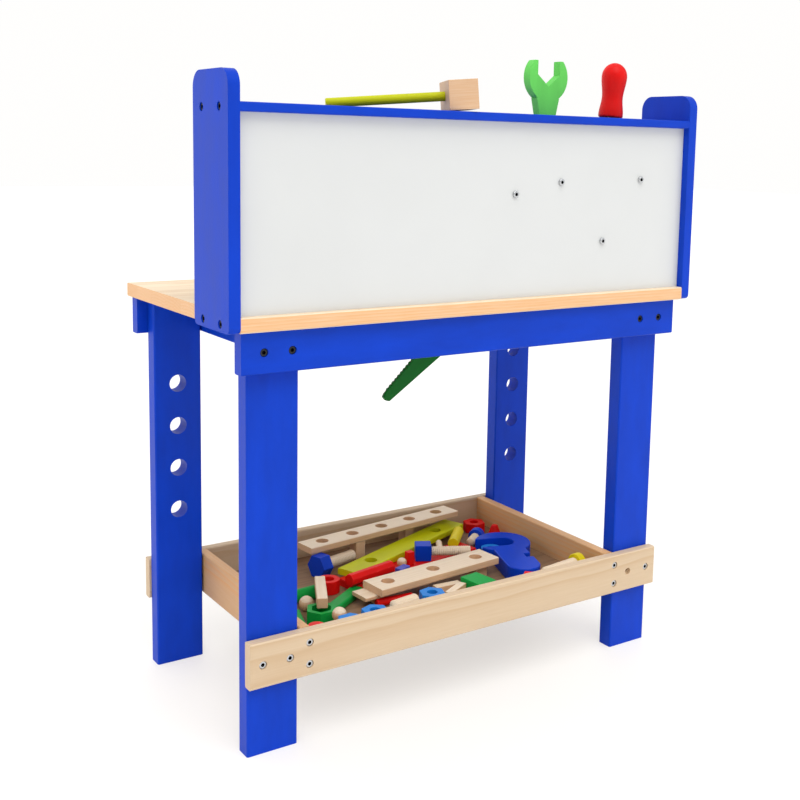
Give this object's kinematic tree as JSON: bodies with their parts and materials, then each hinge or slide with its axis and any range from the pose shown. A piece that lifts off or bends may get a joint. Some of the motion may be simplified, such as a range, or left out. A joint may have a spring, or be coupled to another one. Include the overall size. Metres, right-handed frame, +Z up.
{
  "type": "toy workbench",
  "caption": "Wooden toy workbench with a tool shelf, a gear wall on the rear panel, a saw slot, hanging toy tools and a low tray of loose planks, bolts and nuts.",
  "frame": {"origin": "on the floor under the middle of the bench", "axes": "+X along the bench to its left end as seen from the rear, +Y to the rear panel, +Z up"},
  "size_m": [0.6, 0.3165, 0.7153],
  "materials": {
    "blue_paint": "satin paint on wood",
    "pine": "clear lacquered pine",
    "beech": "smooth untreated hardwood",
    "white_board": "white faced hardboard",
    "tray_board": "plain plywood",
    "dark_screw": "black zinc",
    "zinc_screw": "zinc plated",
    "grey_washer": "matt",
    "green_paint": "satin paint on wood",
    "dark_green_paint": "satin paint on wood",
    "red_paint": "satin paint on wood",
    "lime_paint": "satin paint on wood",
    "yellow_paint": "satin paint on wood",
    "sky_paint": "satin paint on wood",
    "purple_paint": "satin paint on wood"
  },
  "bodies": {
    "root": {"tabletop": "pine", "tray_rail_front": "pine", "tray_rail_rear": "pine", "tray_side_left": "pine", "tray_side_right": "pine", "leg_front_left": "blue_paint", "leg_front_right": "blue_paint", "leg_rear_left": "blue_paint", "leg_rear_right": "blue_paint", "apron_front": "blue_paint", "apron_rear": "blue_paint", "table_batten_left": "blue_paint", "table_batten_right": "blue_paint", "upright_left": "blue_paint", "upright_right": "blue_paint", "tool_shelf": "blue_paint", "blue_bolt_heads": "blue_paint", "rear_panel": "white_board", "tray_floor": "tray_board", "apron_screws": "dark_screw", "upright_screws": "dark_screw", "tray_screws": "zinc_screw", "gear_screws": "zinc_screw", "gear_washers": "grey_washer", "axle_pegs": "beech", "lower_planks": "beech", "bolt_shanks": "beech", "natural_parts": "beech", "yellow_bolt_head": "yellow_paint", "red_plank": "red_paint", "red_small_parts": "red_paint", "green_small_parts": "green_paint", "light_blue_parts": "sky_paint", "purple_block": "purple_paint"},
    "gear_large": {"gear_large": "yellow_paint"},
    "gear_upper": {"gear_upper": "red_paint"},
    "gear_outer": {"gear_outer": "green_paint"},
    "gear_small": {"gear_small": "sky_paint"},
    "hammer": {"hammer_head": "beech", "hammer_handle": "lime_paint"},
    "open_wrench": {"open_wrench": "green_paint"},
    "screwdriver": {"screwdriver_handle": "red_paint", "screwdriver_shaft": "zinc_screw"},
    "saw": {"saw_blade": "dark_green_paint", "saw_handle": "green_paint"},
    "lime_plank": {"lime_plank": "lime_paint"},
    "five_hole_plank": {"five_hole_plank": "beech"},
    "socket_spanner": {"socket_spanner": "green_paint"},
    "square_stick": {"square_stick": "beech"},
    "thin_strip": {"thin_strip": "beech"},
    "three_hole_plank": {"three_hole_plank": "beech"},
    "blue_wrench": {"blue_wrench": "blue_paint"},
    "cube_bolt": {"cube_bolt_head": "blue_paint", "cube_bolt_shank": "beech"},
    "yellow_peg": {"yellow_peg": "yellow_paint"},
    "red_grip": {"red_grip": "red_paint"},
    "red_ring": {"red_ring": "red_paint"},
    "hex_nut": {"hex_nut": "sky_paint"},
    "green_block": {"green_block": "green_paint"}
  },
  "joints": [
    {"name": "large_gear_spin", "type": "hinge", "parent": "root", "child": "gear_large", "pos_m": [-0.1635, 0.137, 0.51], "axis": [0, -1, 0], "continuous": true},
    {"name": "upper_gear_spin", "type": "hinge", "parent": "root", "child": "gear_upper", "pos_m": [-0.09971, 0.137, 0.57699], "axis": [0, -1, 0], "continuous": true},
    {"name": "outer_gear_spin", "type": "hinge", "parent": "root", "child": "gear_outer", "pos_m": [-0.21977, 0.137, 0.58024], "axis": [0, -1, 0], "continuous": true},
    {"name": "small_gear_spin", "type": "hinge", "parent": "root", "child": "gear_small", "pos_m": [-0.03604, 0.137, 0.56392], "axis": [0, -1, 0], "continuous": true},
    {"name": "hammer_lift", "type": "slide", "parent": "root", "child": "hammer", "axis": [0, 0, 1], "range_m": [0, 0.12]},
    {"name": "open_wrench_lift", "type": "slide", "parent": "root", "child": "open_wrench", "axis": [0, 0, 1], "range_m": [0, 0.12]},
    {"name": "screwdriver_lift", "type": "slide", "parent": "root", "child": "screwdriver", "axis": [-0.0872, 0, 0.9962], "range_m": [0, 0.09]},
    {"name": "saw_pull", "type": "slide", "parent": "root", "child": "saw", "axis": [-0.7793, 0, 0.6266], "range_m": [0, 0.22]},
    {"name": "lime_plank_lift", "type": "slide", "parent": "root", "child": "lime_plank", "axis": [0, 0, 1], "range_m": [0, 0.12]},
    {"name": "five_hole_plank_lift", "type": "slide", "parent": "lime_plank", "child": "five_hole_plank", "axis": [0, 0, 1], "range_m": [0, 0.12]},
    {"name": "socket_spanner_lift", "type": "slide", "parent": "root", "child": "socket_spanner", "axis": [0, 0, 1], "range_m": [0, 0.1]},
    {"name": "square_stick_lift", "type": "slide", "parent": "socket_spanner", "child": "square_stick", "axis": [0, 0, 1], "range_m": [0, 0.1]},
    {"name": "thin_strip_lift", "type": "slide", "parent": "socket_spanner", "child": "thin_strip", "axis": [0, 0, 1], "range_m": [0, 0.1]},
    {"name": "three_hole_plank_lift", "type": "slide", "parent": "thin_strip", "child": "three_hole_plank", "axis": [0, 0, 1], "range_m": [0, 0.1]},
    {"name": "blue_wrench_lift", "type": "slide", "parent": "root", "child": "blue_wrench", "axis": [0, 0, 1], "range_m": [0, 0.12]},
    {"name": "cube_bolt_lift", "type": "slide", "parent": "root", "child": "cube_bolt", "axis": [0, 0, 1], "range_m": [0, 0.12]},
    {"name": "yellow_peg_lift", "type": "slide", "parent": "root", "child": "yellow_peg", "axis": [0, 0, 1], "range_m": [0, 0.12]},
    {"name": "red_grip_lift", "type": "slide", "parent": "socket_spanner", "child": "red_grip", "axis": [0, 0, 1], "range_m": [0, 0.12]},
    {"name": "red_ring_lift", "type": "slide", "parent": "root", "child": "red_ring", "axis": [0, 0, 1], "range_m": [0, 0.12]},
    {"name": "hex_nut_lift", "type": "slide", "parent": "root", "child": "hex_nut", "axis": [0, 0, 1], "range_m": [0, 0.12]},
    {"name": "green_block_lift", "type": "slide", "parent": "root", "child": "green_block", "axis": [0, 0, 1], "range_m": [0, 0.12]}
  ],
  "couplings": [
    {"joint": "upper_gear_spin", "follows": "large_gear_spin", "ratio": -1.1765},
    {"joint": "outer_gear_spin", "follows": "large_gear_spin", "ratio": -1.25},
    {"joint": "small_gear_spin", "follows": "large_gear_spin", "ratio": 2.2222}
  ]
}
